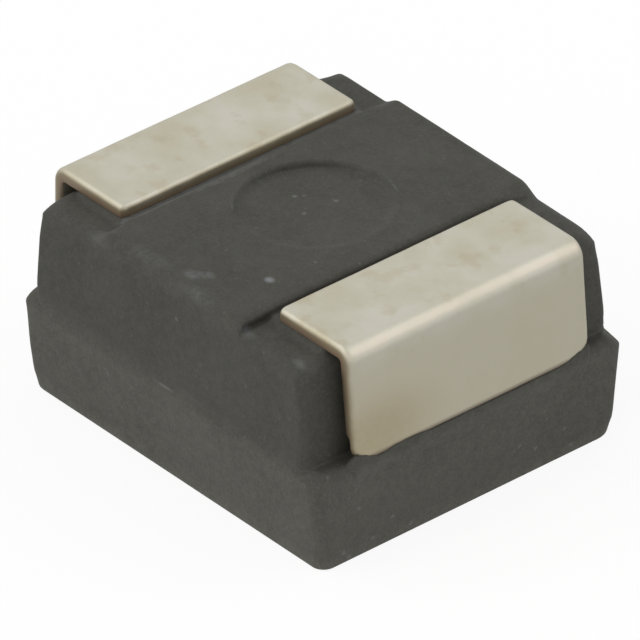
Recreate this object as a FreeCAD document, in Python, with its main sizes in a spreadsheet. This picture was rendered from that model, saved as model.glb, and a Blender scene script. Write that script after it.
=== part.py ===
import FreeCAD, Part
import math
import os

import PartDesign
import Sketcher

# Moulded tantalum chip capacitor, lying on its marked face with its solder feet up.
# All sizes are in millimetres. X runs from the cathode end to the anode end, Y across
# the case and Z up from the marked face. The origin is the middle of the marked face.

SIZES = (
    # The marked half of the case, from the marked face up to the mould's parting plane.
    ("rim_length", 3.39, "case length at the parting plane"),
    ("rim_width", 2.91, "case width at the parting plane"),
    ("rim_height", 0.82, "height of the parting plane over the marked face"),
    ("rim_end_draft", 2.6, "draft of the marked half's ends, in degrees"),
    ("rim_side_draft", 4.8, "draft of the marked half's sides, in degrees"),
    ("corner_round", 0.10, "radius of the case's upright corners"),
    ("rim_round", 0.085, "radius of the rim at the parting plane"),
    ("base_round", 0.02, "radius round the marked face"),
    # The mounting half, which is set in from the rim and carries the feet.
    ("end_ledge", 0.155, "ledge at each end, where the legs come out"),
    ("side_ledge", 0.015, "ledge along each side"),
    ("shelf_height", 1.63, "height of the shelves under the feet"),
    ("end_draft", 3.7, "draft of the mounting half's ends, in degrees"),
    ("side_draft", 3.2, "draft of the mounting half's sides, in degrees"),
    ("shelf_round", 0.09, "radius of the shelves' outer edges"),
    ("pad_gap", 0.075, "gap between the raised pad and the inner end of each foot"),
    ("pad_rise", 0.085, "height of the pad over the shelves"),
    ("pad_round", 0.08, "radius of the pad's long edges"),
    ("step_round", 0.03, "radius along the step from pad to shelf"),
    ("mark_margin", 0.205, "pad left at each side of the ejector pin's mark"),
    ("mark_depth", 0.035, "depth of the ejector pin's mark"),
    # Both terminals are cut from one strip and bent round the ends of the case.
    ("leg_clearance", 0.08, "gap between a leg's exit bend and the end of the case"),
    ("foot_clearance", 0.025, "gap between a foot and the shelf under it"),
    ("strip", 0.11, "thickness of the terminal strip"),
    ("terminal_width", 2.20, "width of a leg and its foot"),
    ("foot_length", 0.80, "length of a foot from the outside of its leg"),
    ("leg_lean", 0.06, "how far a leg leans in from its exit to its foot"),
    ("foot_bend", 0.03, "inside radius of the bend at the foot"),
    ("exit_bend", 0.03, "inside radius of the bend at the case"),
    ("exit_corner", 0.05, "outside radius of the bend at the case, where it was pressed sharp"),
    ("shoulder_round", 0.15, "radius of a leg's lower corners, which narrow it to its neck"),
    ("foot_corner", 0.04, "radius of a foot's inner corners"),
    ("neck_depth", 0.10, "how far the wide neck reaches into the case"),
    ("anode_tab_width", 0.90, "width of the tab that the wire is welded to"),
    ("cathode_tab_width", 1.30, "width of the cradle under the pellet"),
    ("riser_wall", 0.20, "resin between the end of the case and the cradle's riser"),
    ("cradle_length", 0.95, "length of the cradle from its riser"),
    # The capacitor element: a sintered pellet with its wire, washer and coats.
    ("side_wall", 0.265, "resin between the rim and each side of the coated pellet"),
    ("base_wall", 0.23, "resin between the marked face and the coated pellet"),
    ("roof_wall", 0.24, "resin between the cradle and the shelf over it"),
    ("pellet_round", 0.06, "edge radius of the pellet"),
    ("manganese_thickness", 0.03, "thickness of the manganese dioxide coat"),
    ("graphite_thickness", 0.03, "thickness of the graphite coat"),
    ("silver_thickness", 0.03, "thickness of the silver coat"),
    ("coat_setback", 0.10, "how far the outer coats stop short of the wire's face"),
    ("riser_clearance", 0.08, "gap between the coated pellet and the riser"),
    ("adhesive_thickness", 0.03, "thickness of the silver adhesive on the cradle"),
    ("adhesive_margin", 0.05, "how far the adhesive stays inside the cradle's edges"),
    ("wire_diameter", 0.20, "diameter of the anode wire"),
    ("wire_stop", 0.80, "pellet left beyond the wire's inner tip"),
    ("wire_flat", 0.02, "how far the weld presses the wire into its tab"),
    ("wire_wall", 0.30, "resin between the tip of the wire and the end of the case"),
    ("weld_length", 0.28, "length of wire that lies on its tab"),
    ("tab_gap", 0.32, "gap between the wire's tab and the pellet"),
    ("washer_diameter", 0.46, "diameter of the washer on the wire"),
    ("washer_thickness", 0.10, "thickness of the washer on the wire"),
)

# Places that several pieces share, each written once from the sizes.
END_FACE = "(sizes.rim_length / 2 - sizes.end_ledge)"
LEG_EXIT = f"({END_FACE} + sizes.leg_clearance + sizes.strip)"
LEG_FOOT = f"({LEG_EXIT} - sizes.leg_lean)"
FOOT_END = f"({LEG_FOOT} - sizes.foot_length)"
STRIP_TOP = "(sizes.rim_height + sizes.strip)"
FOOT_UNDER = "(sizes.shelf_height + sizes.foot_clearance)"
FOOT_TOP = f"({FOOT_UNDER} + sizes.strip)"
PAD_END = f"({FOOT_END} - sizes.pad_gap)"
PAD_TOP = "(sizes.shelf_height + sizes.pad_rise)"
NECK_END = f"({END_FACE} - sizes.neck_depth)"
RISER_OUTER = f"({END_FACE} - sizes.riser_wall)"
RISER_INNER = f"({RISER_OUTER} - sizes.strip)"
CRADLE_END = f"({RISER_OUTER} - sizes.cradle_length)"
WIRE_HEIGHT = "(sizes.rim_height - sizes.wire_diameter / 2 + sizes.wire_flat)"
WIRE_TIP = f"({END_FACE} - sizes.wire_wall)"
TAB_END = f"({WIRE_TIP} - sizes.weld_length)"
GRAPHITE_DEPTH = "(sizes.manganese_thickness + sizes.graphite_thickness)"
SILVER_DEPTH = f"({GRAPHITE_DEPTH} + sizes.silver_thickness)"
PELLET_END = f"({RISER_INNER} - sizes.riser_clearance - {SILVER_DEPTH})"
PELLET_FACE = f"({TAB_END} - sizes.tab_gap)"
PELLET_SIDE = f"(sizes.rim_width / 2 - sizes.side_wall - {SILVER_DEPTH})"
PELLET_BASE = f"(sizes.base_wall + {SILVER_DEPTH})"
CRADLE_TOP = "(sizes.shelf_height - sizes.roof_wall)"
CRADLE_UNDER = f"({CRADLE_TOP} - sizes.strip)"
SILVER_TOP = f"({CRADLE_UNDER} - sizes.adhesive_thickness)"
PELLET_TOP = f"({SILVER_TOP} - {SILVER_DEPTH})"
WIRE_START = f"(sizes.wire_stop - {PELLET_END})"

# Two lengths count as equal within TINY. A face looks along an axis when its normal
# follows it by more than ALONG, and an edge is a long one when it runs SLIM times further
# one way than the other.
TINY = 1e-5
ALONG = 0.9
SLIM = 4


def fill_sheet(doc):
    """Put every driving size in the sheet, with its name and what it means."""
    sheet = doc.addObject("Spreadsheet::Sheet", "sizes")
    for row, (alias, value, meaning) in enumerate(SIZES, start=1):
        sheet.set(f"A{row}", alias)
        sheet.set(f"B{row}", str(value))
        sheet.setAlias(f"B{row}", alias)
        sheet.set(f"C{row}", meaning)
    doc.recompute()


def new_body(doc, name):
    """An empty body whose name is also its label."""
    body = doc.addObject("PartDesign::Body", name)
    body.Label = name
    return body


def new_sketch(body, name, role, offset=None):
    """A sketch on one of the body's own origin planes, moved along its normal."""
    sketch = body.newObject("Sketcher::SketchObject", name)
    for feature in body.Origin.OriginFeatures:
        if feature.Role == role:
            sketch.AttachmentSupport = [(feature, "")]
    sketch.MapMode = "FlatFace"
    if offset:
        sketch.setExpression("AttachmentOffset.Base.z", offset)
    return sketch


def drive(sketch, constraint, formula):
    """Add a dimension to the sketch and bind it to a formula of the sheet."""
    index = sketch.addConstraint(constraint)
    sketch.setExpression(f"Constraints[{index}]", formula)


def draw_rectangle(sketch, across, up):
    """A rectangle centred on the sketch's origin."""
    corners = [(-1, -1), (1, -1), (1, 1), (-1, 1)]
    points = [FreeCAD.Vector(x, y, 0) for x, y in corners]
    for side in range(4):
        sketch.addGeometry(Part.LineSegment(points[side], points[(side + 1) % 4]), False)
    for side in range(4):
        sketch.addConstraint(Sketcher.Constraint("Coincident", side, 2, (side + 1) % 4, 1))
        direction = "Horizontal" if side % 2 == 0 else "Vertical"
        sketch.addConstraint(Sketcher.Constraint(direction, side))
    sketch.addConstraint(Sketcher.Constraint("Symmetric", 0, 1, 2, 1, -1, 1))
    drive(sketch, Sketcher.Constraint("DistanceX", 0, 1, 0, 2, 2), across)
    drive(sketch, Sketcher.Constraint("DistanceY", 1, 1, 1, 2, 2), up)


def place_point(sketch, element, point, across, up):
    """Bind a point of the sketch to two formulas, starting from where it was drawn."""
    drawn = sketch.getPoint(element, point)
    drive(sketch, Sketcher.Constraint("DistanceX", -1, 1, element, point, drawn.x), across)
    drive(sketch, Sketcher.Constraint("DistanceY", -1, 1, element, point, drawn.y), up)


def draw_loop(sketch, corners):
    """A closed loop of straight sides, drawn as a small ring that two formulas a corner move."""
    first = len(sketch.Geometry)
    count = len(corners)
    turn = 2 * math.pi / count
    points = [FreeCAD.Vector(math.cos(turn * i), math.sin(turn * i), 0) for i in range(count)]
    for side in range(count):
        sketch.addGeometry(Part.LineSegment(points[side], points[(side + 1) % count]), False)
    for side in range(count):
        ahead = first + (side + 1) % count
        sketch.addConstraint(Sketcher.Constraint("Coincident", first + side, 2, ahead, 1))
    for side, (across, up) in enumerate(corners):
        place_point(sketch, first + side, 1, across, up)


def draw_circle(sketch, diameter):
    """A circle centred on the sketch's origin."""
    circle = Part.Circle(FreeCAD.Vector(0, 0, 0), FreeCAD.Vector(0, 0, 1), 1)
    sketch.addGeometry(circle, False)
    centre = len(sketch.Geometry) - 1
    sketch.addConstraint(Sketcher.Constraint("Coincident", centre, 3, -1, 1))
    drive(sketch, Sketcher.Constraint("Diameter", centre, 2), diameter)


def pad(body, name, sketch, length, symmetric=False, downward=False):
    """Pad a sketch by a length, to one side or half to each."""
    feature = body.newObject("PartDesign::Pad", name)
    feature.Profile = (sketch, [""])
    feature.setExpression("Length", length)
    if symmetric:
        feature.SideType = "Symmetric"
    feature.Reversed = downward
    body.Document.recompute()
    return feature


def pocket(body, name, sketch, length, symmetric=False, upward=False):
    """Cut a sketch into the body and make sure that the cut took something away."""
    before = body.Tip.Shape.Volume
    feature = body.newObject("PartDesign::Pocket", name)
    feature.Profile = (sketch, [""])
    feature.setExpression("Length", length)
    if symmetric:
        feature.SideType = "Symmetric"
    feature.Reversed = upward
    body.Document.recompute()
    if feature.Shape.Volume > before - TINY:
        raise ValueError(f"{name} cut nothing")
    return feature


def fillet(body, name, base, edges, radius):
    """Round the named edges of the body's last feature."""
    if not edges:
        raise ValueError(f"{name} has no edges")
    feature = body.newObject("PartDesign::Fillet", name)
    feature.Base = (base, edges)
    feature.setExpression("Radius", radius)
    body.Document.recompute()
    return feature


def draft(body, name, base, faces, neutral, angle, inward):
    """Lean the named faces about the edge that they share with the neutral face."""
    feature = body.newObject("PartDesign::Draft", name)
    feature.Base = (base, faces)
    feature.NeutralPlane = (base, neutral)
    feature.Reversed = inward
    feature.setExpression("Angle", angle)
    body.Document.recompute()
    return feature


def edges_where(feature, test):
    """Names of the feature's edges whose bounding box passes the test."""
    edges = enumerate(feature.Shape.Edges, start=1)
    return [f"Edge{number}" for number, edge in edges if test(edge.BoundBox)]


def faces_towards(feature, axis, side=0):
    """Names of the flat faces that look along an axis, to one side of it or to both."""
    names = []
    for number, face in enumerate(feature.Shape.Faces, start=1):
        if face.Surface.TypeId != "Part::GeomPlane":
            continue
        lean = getattr(face.normalAt(0, 0), axis)
        if abs(lean) > ALONG and lean * side >= 0:
            names.append(f"Face{number}")
    return names


def edges_from_corner(feature, sketch, corner):
    """Names of the edges along Y that a pad drew from one corner of an XZ sketch."""
    place = sketch.getPoint(corner, 1)

    def drawn_from_corner(box):
        same_x = abs(box.XMin - place.x) + abs(box.XMax - place.x) < TINY
        same_z = abs(box.ZMin - place.y) + abs(box.ZMax - place.y) < TINY
        return same_x and same_z

    return edges_where(feature, drawn_from_corner)


def top_of(feature):
    """Height of the feature's highest corner."""
    return max(vertex.Z for vertex in feature.Shape.Vertexes)


def upright(box):
    """True for an edge that climbs more than it runs."""
    return box.ZLength > box.XLength + box.YLength


def marked_half(doc):
    """The half of the case with the marked face, widest at the parting plane."""
    body = new_body(doc, "marked_half")
    outline = new_sketch(body, "rim_outline", "XY_Plane", "sizes.rim_height")
    draw_rectangle(outline, "sizes.rim_length", "sizes.rim_width")
    block = pad(body, "rim_block", outline, "sizes.rim_height", downward=True)
    neutral = faces_towards(block, "z", 1)
    ends = draft(body, "rim_ends", block, faces_towards(block, "x"), neutral, "sizes.rim_end_draft", True)
    neutral = faces_towards(ends, "z", 1)
    sides = draft(body, "rim_sides", ends, faces_towards(ends, "y"), neutral, "sizes.rim_side_draft", True)
    corners = fillet(body, "rim_corners", sides, edges_where(sides, upright), "sizes.corner_round")
    top = top_of(corners)
    rim_edges = edges_where(corners, lambda box: box.ZMin > top - TINY)
    rim = fillet(body, "rim_edge", corners, rim_edges, "sizes.rim_round")
    base_edges = edges_where(rim, lambda box: box.ZMax < TINY)
    fillet(body, "base_edge", rim, base_edges, "sizes.base_round")
    return body


def mounting_half(doc):
    """The half that carries the feet: two shelves with a raised pad between them."""
    body = new_body(doc, "mounting_half")
    root = "(sizes.rim_height - sizes.rim_round)"
    outline = new_sketch(body, "root_outline", "XY_Plane", root)
    draw_rectangle(outline, f"2 * {END_FACE}", "sizes.rim_width - 2 * sizes.side_ledge")
    height = f"{PAD_TOP} - {root}"
    block = pad(body, "root_block", outline, height)
    neutral = faces_towards(block, "z", -1)
    ends = draft(body, "end_walls", block, faces_towards(block, "x"), neutral, "sizes.end_draft", False)
    neutral = faces_towards(ends, "z", -1)
    sides = draft(body, "side_walls", ends, faces_towards(ends, "y"), neutral, "sizes.side_draft", False)
    corners = fillet(body, "upper_corners", sides, edges_where(sides, upright), "sizes.corner_round")
    return cut_shelves(body, corners)


def cut_shelves(body, block):
    """Lower both ends of the top by the pad's rise, round the edges and press the mark."""
    top = top_of(block)

    def long_top_edge(box):
        return box.ZMin > top - TINY and box.XLength > box.YLength * SLIM

    fillet(body, "pad_edges", block, edges_where(block, long_top_edge), "sizes.pad_round")
    profile = new_sketch(body, "shelf_profile", "XZ_Plane")
    above = f"({PAD_TOP} + sizes.pad_rise)"
    for side in (-1, 1):
        corners = [
            (f"{side} * {PAD_END}", "sizes.shelf_height"),
            (f"{side} * sizes.rim_length", "sizes.shelf_height"),
            (f"{side} * sizes.rim_length", above),
            (f"{side} * {PAD_END}", above),
        ]
        draw_loop(profile, corners)
    shelves = pocket(body, "shelves", profile, "2 * sizes.rim_width", symmetric=True)
    step_at = profile.getPoint(0, 1)

    def shelf_rim_edge(box):
        level = abs(box.ZMin - step_at.y) < TINY and box.ZLength < TINY
        beyond_step = abs(box.XMin + box.XMax) / 2 > abs(step_at.x) + TINY
        return level and beyond_step

    shelf_edges = edges_where(shelves, shelf_rim_edge)
    rims = fillet(body, "shelf_edges", shelves, shelf_edges, "sizes.shelf_round")

    def step_edge(box):
        across = box.YLength > box.XLength * SLIM
        at_step = abs(abs(box.XMin + box.XMax) / 2 - abs(step_at.x)) < TINY
        return across and at_step and box.ZMin > step_at.y + TINY

    fillet(body, "step_edges", rims, edges_where(rims, step_edge), "sizes.step_round")
    mark = new_sketch(body, "pin_mark", "XY_Plane", PAD_TOP)
    draw_circle(mark, f"2 * ({PAD_END} - sizes.mark_margin)")
    pocket(body, "pressed_mark", mark, "sizes.mark_depth")
    return body


def round_bends(body, feature, sketch, bends):
    """Round the bends of a strip, given as a corner of its profile and a radius."""
    for number, (corner, radius) in enumerate(bends):
        edges = edges_from_corner(feature, sketch, corner)
        feature = fillet(body, f"{sketch.Name}_bend_{number}", feature, edges, radius)


def terminal(doc, name):
    """A foot, a leg and the neck that enters the case, bent from one strip at the X end."""
    body = new_body(doc, name)
    profile = new_sketch(body, f"{name}_profile", "XZ_Plane")
    corners = [
        (FOOT_END, FOOT_TOP),
        (LEG_FOOT, FOOT_TOP),
        (LEG_EXIT, "sizes.rim_height"),
        (NECK_END, "sizes.rim_height"),
        (NECK_END, STRIP_TOP),
        (f"({LEG_EXIT} - sizes.strip)", STRIP_TOP),
        (f"({LEG_FOOT} - sizes.strip)", FOOT_UNDER),
        (FOOT_END, FOOT_UNDER),
    ]
    draw_loop(profile, corners)
    strip = pad(body, f"{name}_strip", profile, "sizes.terminal_width", symmetric=True)
    bends = [
        (6, "sizes.foot_bend"),
        (1, "sizes.foot_bend + sizes.strip"),
        (5, "sizes.exit_bend"),
        (2, "sizes.exit_corner"),
    ]
    round_bends(body, strip, profile, bends)
    cut_shoulders(body, name)
    tip = profile.getPoint(0, 1)

    def tip_corner(box):
        return upright(box) and abs(box.XMin - tip.x) + abs(box.XMax - tip.x) < TINY

    blank = body.Tip
    fillet(body, f"{name}_tip", blank, edges_where(blank, tip_corner), "sizes.foot_corner")
    return body


def cut_shoulders(body, name):
    """Round the leg's lower corners and narrow the strip to its neck behind them."""
    shoulders = new_sketch(body, f"{name}_shoulders", "YZ_Plane")
    half = "(sizes.terminal_width / 2)"
    neck = f"({half} - sizes.shoulder_round)"
    below = "(sizes.rim_height - sizes.strip)"
    shoulder = "(sizes.rim_height + sizes.shoulder_round)"
    for side in (-1, 1):
        draw_shoulder(shoulders, side, half, neck, below, shoulder)
    pocket(body, f"{name}_rounding", shoulders, f"4 * {LEG_EXIT}", symmetric=True)
    flanks = new_sketch(body, f"{name}_flanks", "XY_Plane", STRIP_TOP)
    bend_start = f"({LEG_EXIT} - sizes.strip - sizes.exit_bend)"
    for side in (-1, 1):
        corners = [
            ("0", f"{side} * {neck}"),
            (bend_start, f"{side} * {neck}"),
            (bend_start, f"{side} * sizes.terminal_width"),
            ("0", f"{side} * sizes.terminal_width"),
        ]
        draw_loop(flanks, corners)
    pocket(body, f"{name}_neck", flanks, "2 * sizes.strip")


def draw_shoulder(sketch, side, half, neck, below, shoulder):
    """The waste outside one rounded lower corner of the leg, drawn roughly and then placed."""
    first = len(sketch.Geometry)
    outside = "sizes.terminal_width"
    centre = FreeCAD.Vector(side * 2, 2, 0)
    start, end = (-math.pi / 2, 0) if side > 0 else (math.pi, 3 * math.pi / 2)
    circle = Part.Circle(centre, FreeCAD.Vector(0, 0, 1), 1)
    sketch.addGeometry(Part.ArcOfCircle(circle, start, end), False)
    low, high = (1, 2) if side > 0 else (2, 1)
    rough = [(3, 2), (4, 2), (4, 0), (2, 0), (2, 1)]
    points = [FreeCAD.Vector(side * across, up, 0) for across, up in rough]
    for corner in range(4):
        sketch.addGeometry(Part.LineSegment(points[corner], points[corner + 1]), False)
    sketch.addConstraint(Sketcher.Constraint("Coincident", first, high, first + 1, 1))
    for line in range(1, 4):
        sketch.addConstraint(Sketcher.Constraint("Coincident", first + line, 2, first + line + 1, 1))
    sketch.addConstraint(Sketcher.Constraint("Coincident", first + 4, 2, first, low))
    places = [
        (first, 3, neck, shoulder),
        (first, high, half, shoulder),
        (first + 1, 2, outside, shoulder),
        (first + 2, 2, outside, below),
        (first + 3, 2, neck, below),
    ]
    sketch.addConstraint(Sketcher.Constraint("Vertical", first + 4))
    for element, point, across, up in places:
        place_point(sketch, element, point, f"{side} * {across}", up)


def anode_terminal(doc):
    """The terminal at the wire's end, with a narrow flat tab for the weld."""
    body = terminal(doc, "anode_terminal")
    outline = new_sketch(body, "tab_outline", "XY_Plane", "sizes.rim_height")
    side = "(sizes.anode_tab_width / 2)"
    corners = [
        (TAB_END, f"-{side}"),
        (END_FACE, f"-{side}"),
        (END_FACE, side),
        (TAB_END, side),
    ]
    draw_loop(outline, corners)
    pad(body, "tab", outline, "sizes.strip")
    return body


def cathode_terminal(doc):
    """The other terminal, whose tab steps up into a cradle that the pellet is glued to."""
    body = terminal(doc, "cathode_terminal")
    profile = new_sketch(body, "cradle_profile", "XZ_Plane")
    corners = [
        (END_FACE, "sizes.rim_height"),
        (RISER_INNER, "sizes.rim_height"),
        (RISER_INNER, CRADLE_UNDER),
        (CRADLE_END, CRADLE_UNDER),
        (CRADLE_END, CRADLE_TOP),
        (RISER_OUTER, CRADLE_TOP),
        (RISER_OUTER, STRIP_TOP),
        (END_FACE, STRIP_TOP),
    ]
    draw_loop(profile, corners)
    cradle = pad(body, "cradle", profile, "sizes.cathode_tab_width", symmetric=True)
    bends = [
        (6, "sizes.exit_bend"),
        (1, "sizes.exit_bend + sizes.strip"),
        (2, "sizes.exit_bend"),
        (5, "sizes.exit_bend + sizes.strip"),
    ]
    round_bends(body, cradle, profile, bends)
    half_turn = FreeCAD.Rotation(FreeCAD.Vector(0, 0, 1), 180)
    body.Placement = FreeCAD.Placement(FreeCAD.Vector(0, 0, 0), half_turn)
    return body


def element_form(doc, name, skin, wire_end, round_wire_end):
    """The pellet grown by a skin on all sides, up to a given end on the wire's side."""
    body = new_body(doc, name)
    back = f"({PELLET_END} + {skin})"
    outline = new_sketch(body, f"{name}_outline", "YZ_Plane", f"-{back}")
    side = f"({PELLET_SIDE} + {skin})"
    base = f"({PELLET_BASE} - {skin})"
    top = f"({PELLET_TOP} + {skin})"
    corners = [
        (f"-{side}", base),
        (side, base),
        (side, top),
        (f"-{side}", top),
    ]
    draw_loop(outline, corners)
    block = pad(body, f"{name}_block", outline, f"{wire_end} + {back}")
    front = max(vertex.X for vertex in block.Shape.Vertexes)

    def rounded(box):
        return round_wire_end or box.XMin < front - TINY

    edges = edges_where(block, rounded)
    fillet(body, f"{name}_edges", block, edges, f"sizes.pellet_round + {skin}")
    return body


def rod(doc, name, diameter, start, length):
    """A round bar along X, on the wire's own line."""
    bar = doc.addObject("Part::Cylinder", name)
    along_x = FreeCAD.Rotation(FreeCAD.Vector(0, 1, 0), 90)
    bar.Placement = FreeCAD.Placement(FreeCAD.Vector(0, 0, 0), along_x)
    bar.setExpression("Radius", f"{diameter} / 2")
    bar.setExpression("Height", length)
    bar.setExpression("Placement.Base.x", start)
    bar.setExpression("Placement.Base.z", WIRE_HEIGHT)
    return bar


def fuse(doc, name, pieces):
    """Several shapes as one."""
    joined = doc.addObject("Part::MultiFuse", name)
    joined.Shapes = pieces
    return joined


def cut(doc, name, base, tool):
    """The base without the tool."""
    left = doc.addObject("Part::Cut", name)
    left.Base = base
    left.Tool = tool
    left.Label = name
    return left


def adhesive(doc):
    """The film of silver adhesive between the coated pellet and its cradle."""
    film = doc.addObject("Part::Box", "silver_adhesive")
    film.Label = "silver_adhesive"
    start = f"({PELLET_END} - sizes.pellet_round)"
    width = "(sizes.cathode_tab_width - 2 * sizes.adhesive_margin)"
    film.setExpression("Length", f"{start} - {CRADLE_END} - sizes.adhesive_margin")
    film.setExpression("Width", width)
    film.setExpression("Height", "sizes.adhesive_thickness")
    film.setExpression("Placement.Base.x", f"-{start}")
    film.setExpression("Placement.Base.y", f"-{width} / 2")
    film.setExpression("Placement.Base.z", SILVER_TOP)
    return film


def build_part(doc):
    """Build every piece and give back the ones that are pieces of the real object."""
    anode = anode_terminal(doc)
    cathode = cathode_terminal(doc)
    film = adhesive(doc)
    wire_bar = rod(doc, "wire_bar", "sizes.wire_diameter", WIRE_START, f"{WIRE_TIP} - {WIRE_START}")
    washer_bar = rod(doc, "washer_bar", "sizes.washer_diameter", PELLET_FACE, "sizes.washer_thickness")
    pellet_form = element_form(doc, "pellet_form", "0", PELLET_FACE, True)
    manganese_face = f"({PELLET_FACE} + sizes.manganese_thickness)"
    manganese_form = element_form(doc, "manganese_form", "sizes.manganese_thickness", manganese_face, True)
    coat_end = f"({PELLET_FACE} - sizes.coat_setback)"
    graphite_form = element_form(doc, "graphite_form", GRAPHITE_DEPTH, coat_end, False)
    silver_form = element_form(doc, "silver_form", SILVER_DEPTH, coat_end, False)
    core = fuse(doc, "pellet_core", [pellet_form, washer_bar, wire_bar])
    inside = fuse(doc, "inside", [anode, cathode, film, silver_form, manganese_form, washer_bar, wire_bar])
    halves = fuse(doc, "case_form", [marked_half(doc), mounting_half(doc)])
    return [
        cut(doc, "moulded_case", halves, inside),
        anode,
        cathode,
        cut(doc, "tantalum_pellet", pellet_form, wire_bar),
        cut(doc, "anode_wire", wire_bar, anode),
        cut(doc, "wire_washer", washer_bar, wire_bar),
        cut(doc, "manganese_dioxide_coat", manganese_form, core),
        cut(doc, "graphite_coat", graphite_form, manganese_form),
        cut(doc, "silver_coat", silver_form, graphite_form),
        film,
    ]


def check(doc, pieces):
    """Stop with a plain message if anything failed or a piece is not one valid solid."""
    for feature in doc.Objects:
        if "Invalid" in feature.State or "Error" in feature.State:
            raise ValueError(f"{feature.Name} failed: {feature.State}")
    for piece in pieces:
        shape = piece.Shape
        if shape.isNull() or not shape.isValid() or len(shape.Solids) != 1:
            raise ValueError(f"{piece.Label} is not one valid solid")


def main():
    doc = FreeCAD.newDocument("tantalum_capacitor")
    fill_sheet(doc)
    pieces = build_part(doc)
    doc.recompute()
    check(doc, pieces)
    os.makedirs("parts", exist_ok=True)
    for piece in pieces:
        piece.Shape.exportStep(os.path.join("parts", f"{piece.Label}.step"))
        print(f"{piece.Label}: {piece.Shape.Volume:.4f} cubic millimetres")


main()
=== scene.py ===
import math
from types import SimpleNamespace

import bpy
import numpy as np
from bpy.props import FloatProperty, FloatVectorProperty, PointerProperty
from mathutils import Matrix, Vector


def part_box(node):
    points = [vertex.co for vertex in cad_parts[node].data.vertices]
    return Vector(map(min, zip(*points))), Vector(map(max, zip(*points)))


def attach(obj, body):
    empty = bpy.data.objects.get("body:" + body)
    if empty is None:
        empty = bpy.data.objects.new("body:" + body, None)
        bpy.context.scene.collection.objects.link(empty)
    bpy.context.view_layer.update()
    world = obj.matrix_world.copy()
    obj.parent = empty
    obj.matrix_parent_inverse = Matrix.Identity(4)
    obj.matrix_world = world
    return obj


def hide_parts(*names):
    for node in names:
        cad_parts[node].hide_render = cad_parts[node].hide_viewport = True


bl_info = {
    "name": "Moulded tantalum capacitor",
    "version": (1, 0, 0),
    "blender": (4, 5, 0),
    "location": "3D View > Sidebar > Capacitor",
    "description": "The case, terminals, resin flash and finishes of a moulded tantalum chip capacitor",
    "category": "Object",
}

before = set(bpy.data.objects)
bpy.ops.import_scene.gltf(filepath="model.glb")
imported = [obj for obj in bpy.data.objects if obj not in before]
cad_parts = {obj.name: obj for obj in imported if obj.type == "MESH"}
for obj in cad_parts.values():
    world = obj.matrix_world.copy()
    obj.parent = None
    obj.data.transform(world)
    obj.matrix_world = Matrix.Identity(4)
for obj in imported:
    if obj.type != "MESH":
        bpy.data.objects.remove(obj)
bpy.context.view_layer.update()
CASE_LOW, CASE_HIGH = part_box("moulded_case")
LEG_LOW, LEG_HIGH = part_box("anode_terminal")
_, CRADLE_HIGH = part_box("cathode_terminal")
SILVER_LOW, SILVER_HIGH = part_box("silver_coat")

MM = 0.001


def length(name, description, millimetres):
    """A length property; its default is given in millimetres and kept in metres."""
    return FloatProperty(
        name=name, description=description, default=millimetres * MM, min=0, precision=6,
        unit="LENGTH", subtype="DISTANCE",
    )


def colour(name, description, value):
    """A colour property, in linear light."""
    return FloatVectorProperty(
        name=name, description=description, default=value, min=0, max=1, size=3, subtype="COLOR",
    )


def number(name, description, value, **limits):
    """A plain number, with limits where it has them."""
    return FloatProperty(name=name, description=description, default=value, **limits)


class CaseSizes(bpy.types.PropertyGroup):
    """Sizes of the moulded case."""

    half_length: length("Half length", "From the middle to the rim at each end", 1.695)
    half_width: length("Half width", "From the middle to the rim at each side", 1.455)
    rim_height: length("Rim height", "Height of the parting plane", 0.82)
    rim_round: length("Rim round", "Radius of the rim at the parting plane", 0.085)
    base_round: length("Base round", "Radius round the marked face", 0.02)
    end_ledge: length("End ledge", "Ledge at each end of the rim", 0.155)
    side_ledge: length("Side ledge", "Ledge along each side of the rim", 0.015)
    corner_round: length("Corner round", "Radius of the rim's upright corners", 0.10)
    upper_corner: length("Upper corner", "Radius of the mounting half's upright corners", 0.065)
    shelf_height: length("Shelf height", "Height of the shelves under the feet", 1.63)
    shelf_round: length("Shelf round", "Radius of the shelves' outer edges", 0.09)
    pad_half: length("Pad half length", "From the middle to each step of the pad", 0.795)
    pad_rise: length("Pad rise", "Height of the pad over the shelves", 0.085)
    pad_round: length("Pad round", "Radius of the pad's long edges", 0.065)
    mark_radius: length("Mark radius", "Radius of the ejector pin's mark", 0.59)
    mark_depth: length("Mark depth", "Depth of the ejector pin's mark", 0.045)
    unevenness: length("Unevenness", "How far the moulded faces wander", 0.003)


class TerminalSizes(bpy.types.PropertyGroup):
    """Sizes of both terminals."""

    foot_end: length("Foot end", "From the middle to a foot's inner end", LEG_LOW.x / MM)
    foot_top: length("Foot top", "Height over the feet", LEG_HIGH.z / MM)
    half_width: length("Half width", "Half the width of a leg", LEG_HIGH.y / MM)
    strip: length("Strip", "Thickness of the strip", 0.11)
    leg_foot: length("Leg at foot", "From the middle to the leg's outside at its foot", 1.67)
    leg_exit: length("Leg at exit", "From the middle to the leg's outside at its exit", 1.722)
    foot_bend: length("Foot bend", "Outside radius of the bend at the foot", 0.14)
    exit_bend: length("Exit bend", "Outside radius of the bend at the case", 0.025)
    shoulder_round: length("Shoulder round", "Radius of a leg's lower corners", 0.15)
    edge_round: length("Edge round", "Radius of the strip's rolled side edges", 0.05)
    tip_round: length("Tip round", "Radius of the rolled edge at a foot's end", 0.045)
    unevenness: length("Unevenness", "How far the strip's faces wander", 0.004)


class Finishes(bpy.types.PropertyGroup):
    """Colours and strengths of the finishes."""

    resin: colour("Resin", "Moulded epoxy", (0.090, 0.0885, 0.076))
    tin: colour("Tin", "Matt tin plating", (0.635, 0.616, 0.525))
    bare_edge: colour("Bare edge", "Copper alloy at the cut edges", (0.25, 0.165, 0.108))
    # The dust colour also paints the highlights on the case's edges, steps and burrs, and the streak along
    # the far step.
    dust: colour("Dust", "Settled dust and rubbed resin", (0.36, 0.37, 0.38))
    dust_amount: number("Dust amount", "How much dust shows on the resin", 0.5, min=0, max=1)


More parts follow.
